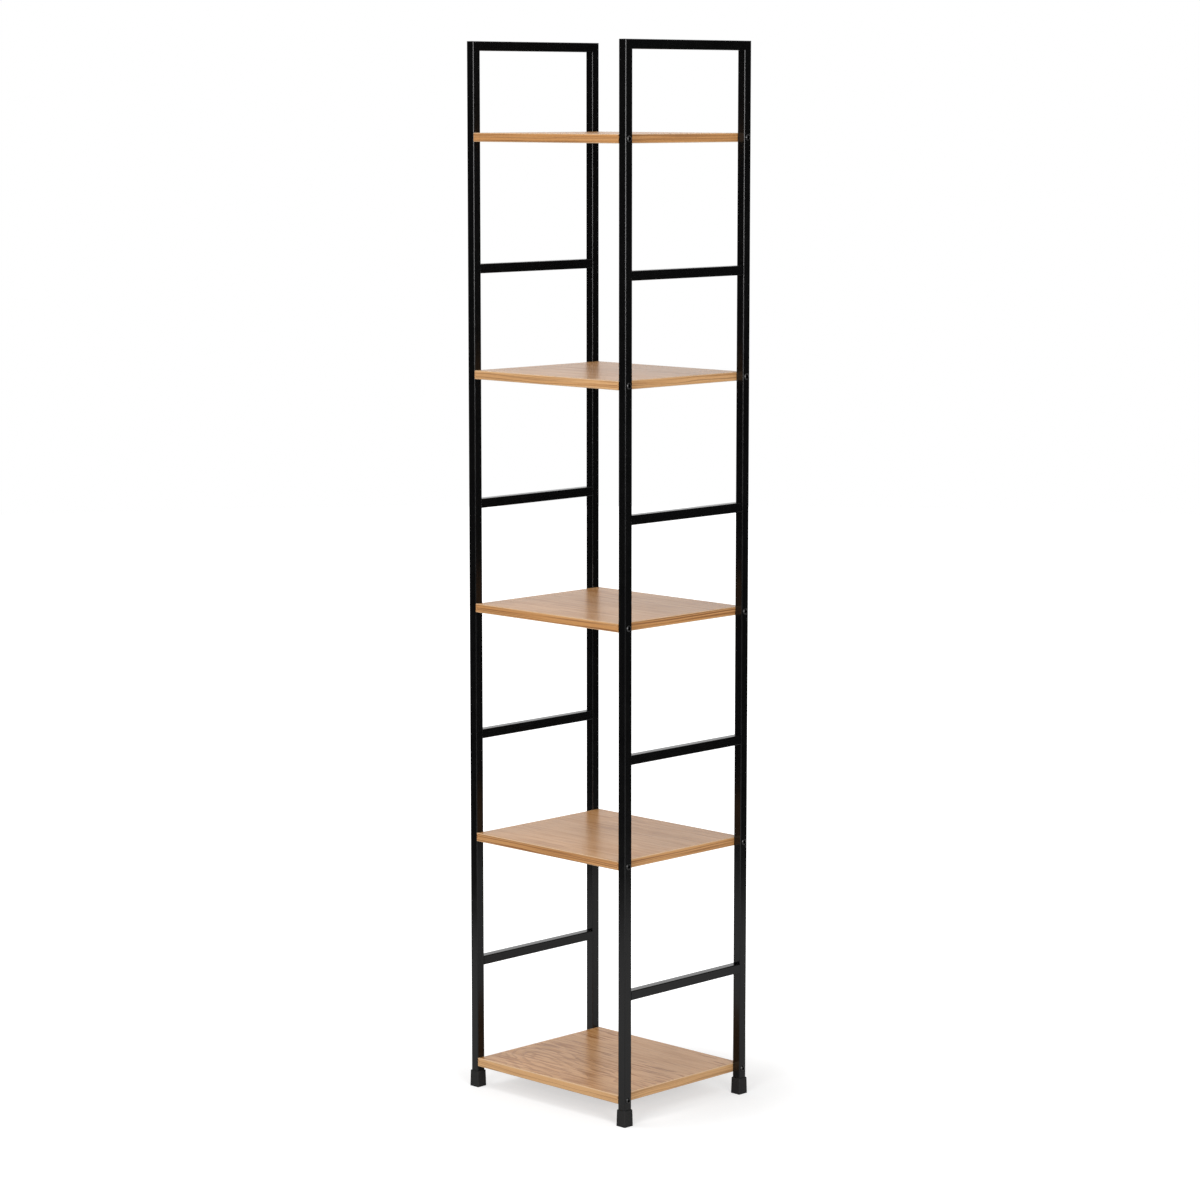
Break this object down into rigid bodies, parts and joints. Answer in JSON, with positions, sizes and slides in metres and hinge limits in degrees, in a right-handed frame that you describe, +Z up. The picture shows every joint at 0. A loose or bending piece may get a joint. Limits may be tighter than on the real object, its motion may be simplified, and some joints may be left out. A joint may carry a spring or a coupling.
{
  "type": "bookcase",
  "caption": "Tall narrow open bookcase with black square-tube ladder frames at both sides and oak-effect shelf boards bolted between them.",
  "frame": {"origin": "on the floor, under the middle of the bookcase", "axes": "+X to the right as seen from the front, +Y from front to rear, +Z up"},
  "size_m": [0.3762, 0.3042, 1.8],
  "materials": {
    "frame_coat": "satin black powder coat",
    "foot_plastic": "matt black moulded plastic",
    "oak_face": "oak-effect melamine face, satin",
    "oak_edge": "oak-effect edge band, satin",
    "bolt_black": "black oxide",
    "insert_zinc": "zinc plated"
  },
  "bodies": {
    "root": {"left_front_post": "frame_coat", "left_front_foot": "foot_plastic", "left_rear_post": "frame_coat", "left_rear_foot": "foot_plastic", "left_top_bar": "frame_coat", "left_rung_1": "frame_coat", "left_rung_2": "frame_coat", "left_rung_3": "frame_coat", "left_rung_4": "frame_coat", "right_front_post": "frame_coat", "right_front_foot": "foot_plastic", "right_rear_post": "frame_coat", "right_rear_foot": "foot_plastic", "right_top_bar": "frame_coat", "right_rung_1": "frame_coat", "right_rung_2": "frame_coat", "right_rung_3": "frame_coat", "right_rung_4": "frame_coat", "shelf_1_board": "oak_face", "shelf_1_edge_bands": "oak_edge", "shelf_1_bolts": "bolt_black", "shelf_1_insert_nuts": "insert_zinc", "shelf_2_board": "oak_face", "shelf_2_edge_bands": "oak_edge", "shelf_2_bolts": "bolt_black", "shelf_2_insert_nuts": "insert_zinc", "shelf_3_board": "oak_face", "shelf_3_edge_bands": "oak_edge", "shelf_3_bolts": "bolt_black", "shelf_3_insert_nuts": "insert_zinc", "shelf_4_board": "oak_face", "shelf_4_edge_bands": "oak_edge", "shelf_4_bolts": "bolt_black", "shelf_4_insert_nuts": "insert_zinc", "shelf_5_board": "oak_face", "shelf_5_edge_bands": "oak_edge", "shelf_5_bolts": "bolt_black", "shelf_5_insert_nuts": "insert_zinc"}
  },
  "joints": []
}
